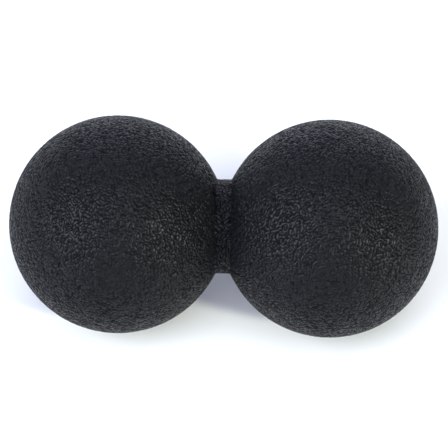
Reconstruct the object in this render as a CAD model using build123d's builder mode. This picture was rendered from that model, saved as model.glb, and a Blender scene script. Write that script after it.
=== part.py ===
from build123d import *
import os
from math import cos, radians, sin, sqrt

# Peanut massage ball: two hollow elastomer balls side by side, held together by a short neck.
#
# Each ball is two thick half shells, welded on a plane that holds the long axis. A tongue on the lower
# rim fills a groove in the upper one. A rigid spool lies along the long axis with a flange inside each
# ball, and the elastomer band moulded round its shaft fills the gap between the balls: that is the neck.
#
# Millimetres. The origin is the centre of the neck, +X runs along the long axis to the right ball and
# +Z is up. The balls lie on a level surface at z = -ball_diameter / 2, rolled so that the weld is
# neither on top nor underneath.

# Driving dimensions
ball_diameter = 63.5
overall_length = 125.0
wall = 7.5
neck_diameter = 27.5
neck_fillet = 0.5  # hollow corner where a ball meets the neck
weld_tilt = 52.0  # degrees from level to the weld plane's normal, which leans towards -Y
tongue_width = 2.0
tongue_height = 1.5
tongue_clearance = 0.1
tongue_setback = 1.5  # how far the tongue stops short of the bore
bore_diameter = 20.0  # hole in each ball for the band's spigot
seat_diameter = 28.0  # flat ring inside each ball that a flange bears on
shaft_diameter = 13.0
spool_hole_diameter = 7.0
flange_diameter = 27.0
flange_thickness = 3.0
flange_round = 1.0

# Worked out from them
ball_radius = ball_diameter / 2
cavity_radius = ball_radius - wall
neck_radius = neck_diameter / 2
bore_radius = bore_diameter / 2
seat_radius = seat_diameter / 2
ball_x = (overall_length - ball_diameter) / 2  # centre of the right ball
seat_x = ball_x - sqrt(cavity_radius**2 - seat_radius**2)
tongue_radius = (ball_radius + cavity_radius) / 2  # middle of the wall
lean = radians(weld_tilt)
weld_plane = Plane(origin=(0, 0, 0), x_dir=(1, 0, 0), z_dir=(0, -cos(lean), sin(lean)))

# The hollow corner is an arc whose centre is one fillet radius outside both the ball and the neck.
ball_centre = Vector(ball_x, 0)
corner_height = neck_radius + neck_fillet
corner_x = ball_x - sqrt((ball_radius + neck_fillet) ** 2 - corner_height**2)
corner = Vector(corner_x, corner_height)
corner_on_neck = corner - Vector(0, neck_fillet)
corner_on_ball = corner + (ball_centre - corner).normalized() * neck_fillet
corner_middle = corner + ((corner_on_neck + corner_on_ball) / 2 - corner).normalized() * neck_fillet


# ---- Ball: wall with a bore towards the neck ----

with BuildPart() as ball:
    with BuildSketch(Plane.XY):
        with BuildLine():
            Line((corner_x, bore_radius), corner_on_neck)
            ThreePointArc(corner_on_neck, corner_middle, corner_on_ball)
            ThreePointArc(corner_on_ball, (ball_x, ball_radius), (ball_x + ball_radius, 0))
            Line((ball_x + ball_radius, 0), (ball_x + cavity_radius, 0))
            ThreePointArc((ball_x + cavity_radius, 0), (ball_x, cavity_radius), (seat_x, seat_radius))
            Line((seat_x, seat_radius), (seat_x, bore_radius))
            Line((seat_x, bore_radius), (corner_x, bore_radius))
        make_face()
    revolve(axis=Axis.X)


# ---- Tongue and groove: two rings on the weld plane, in the middle of the wall ----

with BuildPart() as tongue:
    with BuildSketch(weld_plane):
        with Locations((ball_x, 0)):
            Circle(tongue_radius + tongue_width / 2)
            Circle(tongue_radius - tongue_width / 2, mode=Mode.SUBTRACT)
    extrude(amount=tongue_height)
    with BuildSketch(Plane.YZ):
        Circle(bore_radius + tongue_setback)
    extrude(amount=seat_x, mode=Mode.SUBTRACT)

with BuildPart() as groove:
    with BuildSketch(weld_plane):
        with Locations((ball_x, 0)):
            Circle(tongue_radius + tongue_width / 2 + tongue_clearance)
            Circle(tongue_radius - tongue_width / 2 - tongue_clearance, mode=Mode.SUBTRACT)
    extrude(amount=tongue_height + tongue_clearance)
    with BuildSketch(Plane.YZ):
        Circle(bore_radius + tongue_setback - tongue_clearance)
    extrude(amount=seat_x, mode=Mode.SUBTRACT)


# ---- Half shells: the right pair, and its mirror image for the left ball ----

with BuildPart() as right_upper_shell:
    add(ball.part)
    split(bisect_by=weld_plane, keep=Keep.TOP)
    add(groove.part, mode=Mode.SUBTRACT)

with BuildPart() as right_lower_shell:
    add(ball.part)
    split(bisect_by=weld_plane, keep=Keep.BOTTOM)
    add(tongue.part)

with BuildPart() as left_upper_shell:
    mirror(right_upper_shell.part, about=Plane.YZ)

with BuildPart() as left_lower_shell:
    mirror(right_lower_shell.part, about=Plane.YZ)


# ---- Neck band: the neck that shows, with a spigot each side that fills the ball's bore ----

with BuildPart() as neck_band:
    with BuildSketch(Plane.YZ):
        Circle(neck_radius)
    extrude(amount=corner_x, both=True)
    with BuildSketch(Plane.YZ):
        Circle(bore_radius)
    extrude(amount=seat_x, both=True)
    with BuildSketch(Plane.YZ):
        Circle(shaft_diameter / 2)
    extrude(amount=seat_x, both=True, mode=Mode.SUBTRACT)


# ---- Neck spool: rigid tube through the band, with a flange inside each ball ----

with BuildPart() as neck_spool:
    with BuildSketch(Plane.YZ):
        Circle(shaft_diameter / 2)
    extrude(amount=seat_x, both=True)
    for flange_plane in (Plane.YZ.offset(seat_x), Plane.YZ.offset(-seat_x - flange_thickness)):
        with BuildSketch(flange_plane):
            Circle(flange_diameter / 2)
        extrude(amount=flange_thickness)
    end_faces = faces().filter_by(Axis.X).sort_by(Axis.X)
    fillet(end_faces[0].edges() + end_faces[-1].edges(), radius=flange_round)
    with BuildSketch(Plane.YZ):
        Circle(spool_hole_diameter / 2)
    extrude(amount=overall_length, both=True, mode=Mode.SUBTRACT)


# ---- Labels and files ----

left_upper_shell.part.label = "left_upper_shell"
left_lower_shell.part.label = "left_lower_shell"
right_upper_shell.part.label = "right_upper_shell"
right_lower_shell.part.label = "right_lower_shell"
neck_band.part.label = "neck_band"
neck_spool.part.label = "neck_spool"

os.makedirs("parts", exist_ok=True)
for piece in (left_upper_shell, left_lower_shell, right_upper_shell, right_lower_shell, neck_band, neck_spool):
    export_step(piece.part, f"parts/{piece.part.label}.step")
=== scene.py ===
import bmesh
import bpy
import mathutils
import numpy as np
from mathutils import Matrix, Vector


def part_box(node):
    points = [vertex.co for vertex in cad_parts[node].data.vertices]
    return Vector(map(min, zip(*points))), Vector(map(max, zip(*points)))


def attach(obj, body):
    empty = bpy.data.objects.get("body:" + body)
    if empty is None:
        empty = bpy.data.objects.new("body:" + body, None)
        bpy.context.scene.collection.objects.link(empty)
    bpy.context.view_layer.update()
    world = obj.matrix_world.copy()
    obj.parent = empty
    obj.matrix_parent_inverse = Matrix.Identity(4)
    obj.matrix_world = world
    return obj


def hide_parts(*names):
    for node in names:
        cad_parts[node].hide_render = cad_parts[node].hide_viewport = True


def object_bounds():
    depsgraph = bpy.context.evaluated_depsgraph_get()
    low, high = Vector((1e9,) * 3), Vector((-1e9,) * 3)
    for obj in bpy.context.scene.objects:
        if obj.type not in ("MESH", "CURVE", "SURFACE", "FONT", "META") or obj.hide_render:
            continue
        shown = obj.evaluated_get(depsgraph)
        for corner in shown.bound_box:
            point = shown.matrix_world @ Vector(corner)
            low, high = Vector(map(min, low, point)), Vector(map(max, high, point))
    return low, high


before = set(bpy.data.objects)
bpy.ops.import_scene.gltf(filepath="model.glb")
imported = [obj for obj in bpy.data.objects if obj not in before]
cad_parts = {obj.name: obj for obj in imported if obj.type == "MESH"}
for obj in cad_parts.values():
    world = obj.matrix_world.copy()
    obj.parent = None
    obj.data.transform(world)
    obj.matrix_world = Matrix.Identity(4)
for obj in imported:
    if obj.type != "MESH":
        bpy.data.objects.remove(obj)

cad_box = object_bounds()


# ---- Half shells ----
# Each ball is two thick half shells, injection moulded in black thermoplastic elastomer and welded tongue
# in groove on a plane that holds the long axis. The mould is etched with a grain of small pebbles parted
# by narrow grooves, which carries on over the weld and the neck.

ball_radius = (cad_box[1].z - cad_box[0].z) / 2
ball_x = cad_box[1].x - ball_radius
wall = 7.5e-3
cavity_radius = ball_radius - wall
seat_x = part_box("neck_band")[1].x  # flat ring inside the ball, where the bore ends
seat_radius = 14.0e-3
bore_radius = 10.0e-3
neck_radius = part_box("neck_band")[1].z
neck_edge_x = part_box("right_upper_shell")[0].x  # where a ball's hollow corner ends on the neck
corner_radius = 0.5e-3
weld_lean = np.radians(52.0)  # from level to the weld plane's normal, which leans towards -Y
tongue_middle = cavity_radius + wall / 2
tongue_width = 2.0e-3
tongue_height = 1.5e-3
tongue_clearance = 0.1e-3

grain_depth = 0.32e-3
grain_waves = (0.95e-3, 1.7e-3)  # shortest and longest wave in the grain
grain_wave_count = 260
groove_width = 0.42  # of the grain field's spread, over which a groove rises to 1/e of its depth
plain_field = 3.0  # field value given to faces without grain: well clear of any groove
seam_depth = 0.10e-3
seam_width = 0.22e-3

ball_rows, corner_rows, skin_columns = 280, 5, 330
inner_rows, inner_columns = 28, 33  # a tenth of those outside, so that the edges meet point for point

along = np.array((1.0, 0.0, 0.0))
weld_normal = np.array((0.0, -np.cos(weld_lean), np.sin(weld_lean)))
weld_across = np.array((0.0, np.sin(weld_lean), np.cos(weld_lean)))

# The hollow corner is an arc about a point one corner radius outside both the ball and the neck.
corner = np.array((neck_edge_x, neck_radius + corner_radius))
corner_to_ball = np.array((ball_x, 0.0)) - corner
ball_end_angle = np.pi + np.arctan2(corner_to_ball[1], corner_to_ball[0])

# Directions spread evenly over all angles, lengths spread evenly between the two limits.
draw = np.random.default_rng(11)
wave_direction = draw.normal(size=(grain_wave_count, 3))
wave_direction /= np.linalg.norm(wave_direction, axis=1)[:, None]
wave_length = draw.uniform(*grain_waves, size=grain_wave_count)
wave_vector = wave_direction * (2 * np.pi / wave_length)[:, None]
wave_phase = draw.uniform(0, 2 * np.pi, size=grain_wave_count)


def grain_field(points):
    """Smooth signed field in space: the sum of plane waves cos(k.p + phase), divided by its spread. Its
    zero lines on a surface wander and branch, and the grain's grooves follow them."""
    total = np.zeros(points.shape[:-1])
    for vector, phase in zip(wave_vector, wave_phase):
        total += np.cos(points @ vector + phase)
    return total / np.sqrt(grain_wave_count / 2)


def engrave(points, outward):
    """Moves points inwards by depth exp(-|field| / groove width), the grain, and by a rounded groove
    along the weld of depth exp(-(distance / width)^2). Returns the points and the field."""
    field = grain_field(points)
    groove = grain_depth * np.exp(-np.abs(field) / groove_width)
    seam = seam_depth * np.exp(-((points @ weld_normal / seam_width) ** 2))
    return points - outward * (groove + seam)[..., None], field


def outer_section():
    """Skin of the right ball from its far pole to the neck, as (x, r) points and outward normals:
    x = ball_x + R cos(a), r = R sin(a), then the hollow corner, turned about its own centre."""
    angle = np.linspace(0, ball_end_angle, ball_rows + 1)
    normal = np.stack((np.cos(angle), np.sin(angle)), 1)
    sphere = np.array((ball_x, 0.0)) + ball_radius * normal
    turn = np.linspace(ball_end_angle - np.pi, -np.pi / 2, corner_rows + 1)[1:]
    spoke = np.stack((np.cos(turn), np.sin(turn)), 1)
    hollow = corner + corner_radius * spoke
    return np.concatenate((sphere, hollow)), np.concatenate((normal, -spoke))


def inner_section():
    """Inside of the right ball as (x, r) points: the cavity, x = ball_x + c cos(a), r = c sin(a), up to
    the flat seat, then the bore."""
    seat_angle = np.pi - np.arcsin(seat_radius / cavity_radius)
    angle = np.linspace(0, seat_angle, inner_rows + 1)
    cavity = np.stack((ball_x + cavity_radius * np.cos(angle), cavity_radius * np.sin(angle)), 1)
    return np.concatenate((cavity, ((seat_x, bore_radius), (neck_edge_x, bore_radius))))


def swept(section, directions):
    """Carries (x, r) points round the long axis: p = x along + r direction, for every direction."""
    return section[:, None, :1] * along + section[:, None, 1:] * directions[None]


def half_turn(columns, side):
    """Unit vectors from one edge of the weld round to the other: cos t across + sin t normal."""
    turn = np.linspace(0, np.pi, columns + 1)[:, None]
    return np.cos(turn) * weld_across + side * np.sin(turn) * weld_normal


def weld_rim(edge, side):
    """Four lines along the wall on one edge of the weld plane, p = x along + r edge across + h normal,
    where (x, r) is an arc about the ball's centre. They are the foot and the top of each flank of the
    tongue, or of the groove in the upper shell, which is a little wider and deeper."""
    clearance = tongue_clearance if side > 0 else 0.0
    half_width = tongue_width / 2 + clearance
    top = tongue_height + clearance
    angle = np.linspace(0, ball_end_angle, inner_rows + 1)
    lines = []
    for flank, height in ((1, 0.0), (1, top), (-1, top), (-1, 0.0)):
        radius = tongue_middle + flank * half_width
        arc = np.stack((ball_x + radius * np.cos(angle), radius * np.sin(angle)), 1)
        lines.append(swept(arc, edge * weld_across[None])[:, 0] + height * weld_normal)
    return np.stack(lines, 1)


def quads(index):
    """Faces between neighbouring rows and columns of a grid of point numbers."""
    corners = (index[:-1, :-1], index[1:, :-1], index[1:, 1:], index[:-1, 1:])
    return np.stack(corners, -1).reshape(-1, 4).tolist()


def capped(index):
    """Faces of a grid whose first row is a pole, one point all along: triangles round it, then quads."""
    fan = np.stack((index[0, :-1], index[1, :-1], index[1, 1:]), -1)
    return [*fan.tolist(), *quads(index[1:])]


def strips(fine, coarse):
    """Faces that join a fine edge to a coarse one: each takes one coarse step and the fine steps
    beside it."""
    step = (len(fine) - 1) // (len(coarse) - 1)
    starts = range(len(coarse) - 1)
    return [[*fine[step * i : step * (i + 1) + 1], coarse[i + 1], coarse[i]] for i in starts]


def solid_mesh(name, points, field, grained, plain):
    """A closed mesh of grained faces, shaded smooth, and plain faces, all turned outwards. Points that no
    face uses are dropped. The field goes with the points, as the attribute grain."""
    faces = [*grained, *plain]
    used, number = np.unique(np.concatenate(faces), return_inverse=True)
    ends = np.cumsum([len(face) for face in faces])[:-1]
    mesh = bpy.data.meshes.new(name)
    mesh.from_pydata(points[used].tolist(), [], [face.tolist() for face in np.split(number, ends)])
    mesh.polygons.foreach_set("use_smooth", np.arange(len(faces)) < len(grained))
    grain = mesh.attributes.new("grain", "FLOAT", "POINT")
    grain.data.foreach_set("value", field[used].astype(np.float32))
    turned = bmesh.new()
    turned.from_mesh(mesh)
    bmesh.ops.recalc_face_normals(turned, faces=turned.faces)
    turned.to_mesh(mesh)
    turned.free()
    piece = bpy.data.objects.new(name, mesh)
    bpy.context.scene.collection.objects.link(piece)
    return piece


def half_shell(name, side, end):
    """One half shell. side is 1 above the weld plane and -1 below it, end is 1 on the right ball and -1
    on the left. The grained skin, the inside and the weld rim close one solid."""
    mirror = np.array((end, 1.0, 1.0))
    section, normal = outer_section()
    round_axis = half_turn(skin_columns, side)
    skin, field = engrave(swept(section, round_axis) * mirror, swept(normal, round_axis) * mirror)
    inside = swept(inner_section(), half_turn(inner_columns, side)) * mirror
    rims = [weld_rim(edge, side) * mirror for edge in (1, -1)]

    blocks = (skin, inside, *rims)
    points = np.concatenate([block.reshape(-1, 3) for block in blocks])
    ends = np.cumsum([block[..., 0].size for block in blocks])
    numbers = np.split(np.arange(len(points)), ends[:-1])
    skin_at, inside_at, *rims_at = [n.reshape(b.shape[:2]) for n, b in zip(numbers, blocks)]

    # One point at each pole, and both rims share their points on the long axis.
    skin_at[0] = skin_at[0, 0]
    inside_at[0] = inside_at[0, 0]
    rims_at[1][0] = rims_at[0][0]

    plain = capped(inside_at) + strips(skin_at[-1], inside_at[-1])
    for rim, column in zip(rims_at, (0, -1)):
        skin_edge, inside_edge = skin_at[:, column], inside_at[:, column]
        plain += strips(skin_edge[: ball_rows + 1], rim[:, 0])
        plain += quads(rim)
        plain += quads(np.stack((rim[:, -1], inside_edge[: inner_rows + 1]), 1))
        plain.append(rim[-1].tolist())
        plain.append([*skin_edge[ball_rows:], *inside_edge[inner_rows:][::-1], rim[-1, -1], rim[-1, 0]])
    whole_field = np.full(len(points), plain_field)
    whole_field[: field.size] = field.ravel()
    return solid_mesh(name, points, whole_field, capped(skin_at), plain)


class Value:
    """A shader socket that Python's operators work on: each operation adds one Math node."""

    def __init__(self, finish, socket):
        self.finish = finish
        self.socket = socket

    def maths(self, operation, *values):
        return self.finish.add("ShaderNodeMath", {"operation": operation}, values)

    def __add__(self, other):
        return self.maths("ADD", self, other)

    def __sub__(self, other):
        return self.maths("SUBTRACT", self, other)

    def __rsub__(self, other):
        return self.maths("SUBTRACT", other, self)

    def __mul__(self, other):
        return self.maths("MULTIPLY", self, other)

    def __truediv__(self, other):
        return self.maths("DIVIDE", self, other)

    def __rtruediv__(self, other):
        return self.maths("DIVIDE", other, self)

    def __pow__(self, other):
        return self.maths("POWER", self, other)

    def __rpow__(self, other):
        return self.maths("POWER", other, self)

    def __abs__(self):
        return self.maths("ABSOLUTE", self)

    __radd__ = __add__
    __rmul__ = __mul__


class Finish:
    """A material with a Principled shader, and one method that adds any other node to it."""

    def __init__(self, name, **constants):
        self.material = bpy.data.materials.new(name)
        self.material.use_nodes = True
        self.tree = self.material.node_tree
        self.shader = self.tree.nodes["Principled BSDF"]
        for socket, value in constants.items():
            self.shader.inputs[socket.replace("_", " ")].default_value = value

    def add(self, kind, settings, values, output=0):
        """A node of that kind. values is a sequence, or a dict by socket, of numbers, tuples and
        Values."""
        node = self.tree.nodes.new(kind)
        for name, setting in settings.items():
            setattr(node, name, setting)
        pairs = values.items() if isinstance(values, dict) else enumerate(values)
        for key, value in pairs:
            if isinstance(value, Value):
                self.tree.links.new(value.socket, node.inputs[key])
            else:
                node.inputs[key].default_value = value
        return Value(self, node.outputs[output])

    def place(self):
        return self.add("ShaderNodeTexCoord", {}, {}, "Object")

    def noise(self, place, scale, detail):
        values = {"Vector": place, "Scale": scale, "Detail": detail}
        return self.add("ShaderNodeTexNoise", {}, values)

    def blend(self, share, first, second):
        """The colour share of the way from the first to the second."""
        return self.add("ShaderNodeMix", {"data_type": "RGBA"}, {0: share, 6: first, 7: second}, 2)

    def feed(self, socket, value):
        self.tree.links.new(value.socket, self.shader.inputs[socket])


def elastomer(name):
    """Black elastomer as moulded: duller in the grooves than on the pebbles, with a fine sand-like tooth
    from the etched mould and a faint bloom that comes and goes over the ball. Shade is painted at the
    bottom of each groove as a mix towards dull black."""
    dark = (0.0034, 0.0035, 0.0052, 1.0)
    bloomed = (0.0048, 0.0050, 0.0068, 1.0)
    # painted shade for the bottom of a groove, not a colour of the rubber
    painted_groove_shade = (0.001, 0.001, 0.0012, 1.0)
    groove_reach = 0.50  # of the field's spread, as groove_width is
    groove_shadow = 0.75  # share of painted shade, a dull black, at the bottom of a groove
    pebble_roughness, groove_roughness, bloom_roughness = 0.36, 0.20, 0.10
    bloom_scale, tooth_scale = 45.0, 1500.0  # noise cells in a metre
    tooth_height, groove_height = 0.06e-3, 0.16e-3

    finish = Finish(name, IOR=1.265)
    place = finish.place()
    field = finish.add("ShaderNodeAttribute", {"attribute_name": "grain"}, {}, "Fac")
    groove = np.e ** (abs(field) / -groove_reach)
    bloom = finish.noise(place, bloom_scale, 3.0)
    tooth = finish.noise(place, tooth_scale, 1.0)
    finish.feed("Base Color", finish.blend(bloom, dark, bloomed))
    clouded = bloom_roughness * (bloom - 0.5)  # noise lies about a half
    finish.feed("Roughness", pebble_roughness + groove_roughness * groove + clouded)
    height = tooth_height * tooth - groove_height * groove
    bump = {"Strength": 1.0, "Distance": 1.0, "Height": height}  # heights in metres
    finish.feed("Normal", finish.add("ShaderNodeBump", {}, bump))

    # Painted shade: too little light leaves the bottom of a groove to be seen, so it is mixed towards
    # dull black.
    shadow = finish.add("ShaderNodeBsdfDiffuse", {}, {"Color": painted_groove_shade})
    skin = Value(finish, finish.shader.outputs["BSDF"])
    mixed = finish.add("ShaderNodeMixShader", {}, (groove_shadow * groove, skin, shadow))
    finish.tree.links.new(mixed.socket, finish.tree.nodes["Material Output"].inputs["Surface"])
    return finish.material


ball_finish = elastomer("ball_elastomer")
for end_name, end in (("left", -1), ("right", 1)):
    for side_name, side in (("upper", 1), ("lower", -1)):
        node = f"{end_name}_{side_name}_shell"
        shell = half_shell(f"{node}_grained", side, end)
        shell.data.materials.append(ball_finish)
        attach(shell, "root")
        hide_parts(node)


# ---- Neck band ----
# The ring between the balls is the same elastomer, moulded round the spool's shaft in a grained ring
# mould. Its spigots fill the bores of both balls, and only the strip between the balls shows.

shaft_radius = 6.5e-3
band_rows, band_columns = 22, 480


def neck_ring(name):
    """A closed section of (x, r) points carried once round the long axis: the grained face, then each
    side's ball face, spigot and end, and the hole for the shaft."""
    face_x = np.linspace(-neck_edge_x, neck_edge_x, band_rows + 1)
    face = np.stack((face_x, np.full(band_rows + 1, neck_radius)), 1)
    hidden = np.array((
        (neck_edge_x, bore_radius),
        (seat_x, bore_radius),
        (seat_x, shaft_radius),
        (-seat_x, shaft_radius),
        (-seat_x, bore_radius),
        (-neck_edge_x, bore_radius),
    ))
    turn = np.linspace(0, 2 * np.pi, band_columns, endpoint=False)[:, None]
    round_axis = np.cos(turn) * weld_across + np.sin(turn) * weld_normal
    outward = np.broadcast_to(round_axis, (band_rows + 1, band_columns, 3))
    skin, field = engrave(swept(face, round_axis), outward)
    points = np.concatenate((skin, swept(hidden, round_axis)))
    whole_field = np.full(points.shape[:2], plain_field)
    whole_field[: band_rows + 1] = field

    # Row and column numbers run on into the first again, which closes the ring both ways.
    index = np.arange(whole_field.size).reshape(-1, band_columns)
    index = np.concatenate((index, index[:, :1]), 1)
    index = np.concatenate((index, index[:1]))
    grained, plain = quads(index[: band_rows + 1]), quads(index[band_rows:])
    return solid_mesh(name, points.reshape(-1, 3), whole_field.ravel(), grained, plain)


band = neck_ring("neck_band_grained")
band.data.materials.append(elastomer("neck_elastomer"))
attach(band, "root")
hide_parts("neck_band")


# ---- Neck spool ----
# A rigid polypropylene tube with a flange inside each ball, moulded in natural milky plastic. Nothing of
# it shows once the balls are welded.

spool_thin = (0.58, 0.56, 0.51, 1.0)
spool_milky = (0.68, 0.66, 0.61, 1.0)
spool_roughness, flow_roughness = 0.34, 0.14
flow_scale = 180.0  # noise cells in a metre, for the clouds that the flow of the plastic leaves

spool_finish = Finish("spool_polypropylene", IOR=1.49)
flow = spool_finish.noise(spool_finish.place(), flow_scale, 4.0)
spool_finish.feed("Base Color", spool_finish.blend(flow, spool_thin, spool_milky))
spool_finish.feed("Roughness", spool_roughness + flow_roughness * flow)
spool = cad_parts["neck_spool"]
spool.data.materials.clear()
spool.data.materials.append(spool_finish.material)


# ---- Floor, light and camera ----
# A plain white table under soft studio light: a large cool softbox on the left, a wide one low behind,
# one overhead on each side, and a small warm lamp on the right. The camera is far away with a long lens
# and looks down at the pair.

floor_size = 30.0
floor_mesh = bpy.data.meshes.new("floor")
corner_signs = np.array(((-1, -1), (1, -1), (1, 1), (-1, 1)))
floor_points = np.concatenate((corner_signs * floor_size / 2, np.full((4, 1), cad_box[0].z)), 1)
floor_mesh.from_pydata(floor_points.tolist(), [], [(0, 1, 2, 3)])
floor = bpy.data.objects.new("floor", floor_mesh)
bpy.context.scene.collection.objects.link(floor)
floor_finish = Finish("white_table", Base_Color=(0.82, 0.82, 0.82, 1.0), Roughness=0.6)
floor_mesh.materials.append(floor_finish.material)

room = bpy.data.worlds.new("room")
room.use_nodes = True
room.node_tree.nodes["Background"].inputs["Color"].default_value = (0.93, 0.96, 1.0, 1.0)
room.node_tree.nodes["Background"].inputs["Strength"].default_value = 0.01
bpy.context.scene.world = room


def softbox(name, azimuth, elevation, width, strength, colour):
    """A light at infinity, a disc width degrees across, centred azimuth degrees to the right of the
    front and elevation degrees up: towards = (sin a cos e, -cos a cos e, sin e)."""
    lamp = bpy.data.lights.new(name, "SUN")
    lamp.energy = strength
    lamp.color = colour
    lamp.angle = np.radians(width)
    light = bpy.data.objects.new(name, lamp)
    around, up = np.radians(azimuth), np.radians(elevation)
    towards = (np.sin(around) * np.cos(up), -np.cos(around) * np.cos(up), np.sin(up))
    light.rotation_mode = "QUATERNION"
    light.rotation_quaternion = mathutils.Vector(towards).to_track_quat("Z", "Y")
    bpy.context.scene.collection.objects.link(light)


softbox("left_softbox", -60, 32, 50, 5.0, (0.80, 0.86, 1.0))
softbox("back_softbox", 180, 14, 80, 3.3, (0.78, 0.82, 1.0))
softbox("top_right_softbox", 50, 68, 50, 1.7, (0.84, 0.88, 1.0))
softbox("top_left_softbox", -40, 66, 44, 0.5, (0.94, 0.94, 1.0))
softbox("right_lamp", 54, 22, 6, 3.2, (0.97, 1.0, 0.80))

view_azimuth = np.radians(1.5)
view_elevation = np.radians(52.0)
camera_distance = 1.5
picture_width = 130.4e-3  # at the pair
aim_right, aim_up = 0.10e-3, 0.69e-3  # of the pair's centre

view_right = np.array((np.cos(view_azimuth), np.sin(view_azimuth), 0.0))
view_back = np.array((
    np.sin(view_azimuth) * np.cos(view_elevation),
    -np.cos(view_azimuth) * np.cos(view_elevation),
    np.sin(view_elevation),
))
view_up = np.cross(view_back, view_right)
camera_data = bpy.data.cameras.new("camera")
camera_data.sensor_width = 36.0
camera_data.lens = camera_data.sensor_width * camera_distance / picture_width
camera_data.clip_end = 100.0
camera = bpy.data.objects.new("camera", camera_data)
camera.location = aim_right * view_right + aim_up * view_up + camera_distance * view_back
camera.rotation_mode = "QUATERNION"
camera.rotation_quaternion = mathutils.Vector(view_back).to_track_quat("Z", "Y")
bpy.context.scene.collection.objects.link(camera)
bpy.context.scene.camera = camera
bpy.context.scene.view_settings.view_transform = "Standard"
